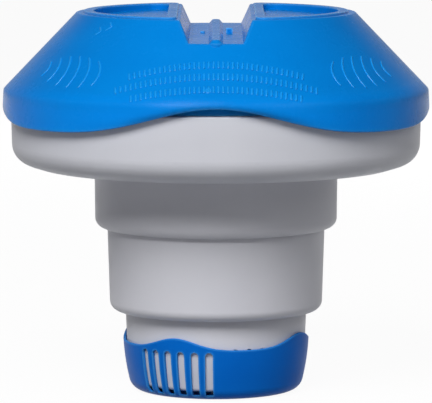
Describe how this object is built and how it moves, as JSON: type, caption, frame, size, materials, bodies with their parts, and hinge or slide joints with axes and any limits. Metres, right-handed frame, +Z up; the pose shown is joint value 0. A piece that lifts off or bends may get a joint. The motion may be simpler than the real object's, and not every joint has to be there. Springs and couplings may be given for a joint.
{
  "type": "floating chlorine dispenser",
  "caption": "Floating dispenser for pool chlorine tablets: domed cover locked on a round float, telescoping basket below, slotted dosing ring at its foot.",
  "frame": {"origin": "on the common vertical axis, at the flat base of the dosing ring", "axes": "+Z up along the common axis; the cover's channel runs along Y and the front looks along -Y"},
  "size_m": [0.1989, 0.1982, 0.1779],
  "materials": {
    "cover_blue": "glossy moulded polypropylene",
    "ring_blue": "satin moulded polypropylene",
    "float_white": "satin moulded polypropylene",
    "basket_white": "satin moulded polypropylene",
    "foam": "closed-cell foam"
  },
  "bodies": {
    "cup_stage": {"lower_cup": "basket_white"},
    "ring": {"dosing_ring": "ring_blue"},
    "middle_stage": {"middle_sleeve": "basket_white"},
    "float": {"upper_sleeve": "basket_white", "float_deck": "float_white", "float_tray": "float_white", "float_foam": "foam"},
    "cover": {"top_cover": "cover_blue"}
  },
  "joints": [
    {"name": "dosing_ring_turn", "type": "hinge", "parent": "cup_stage", "child": "ring", "pos_m": [0, 0, 0], "axis": [0, 0, 1], "range_deg": [0, 52.8]},
    {"name": "middle_slide", "type": "slide", "parent": "cup_stage", "child": "middle_stage", "axis": [0, 0, -1], "range_m": [0, 0.034]},
    {"name": "upper_slide", "type": "slide", "parent": "middle_stage", "child": "float", "axis": [0, 0, -1], "range_m": [0, 0.036]},
    {"name": "cover_turn", "type": "hinge", "parent": "float", "child": "cover", "pos_m": [0, 0, 0.1772], "axis": [0, 0, 1], "range_deg": [0, 35]}
  ]
}
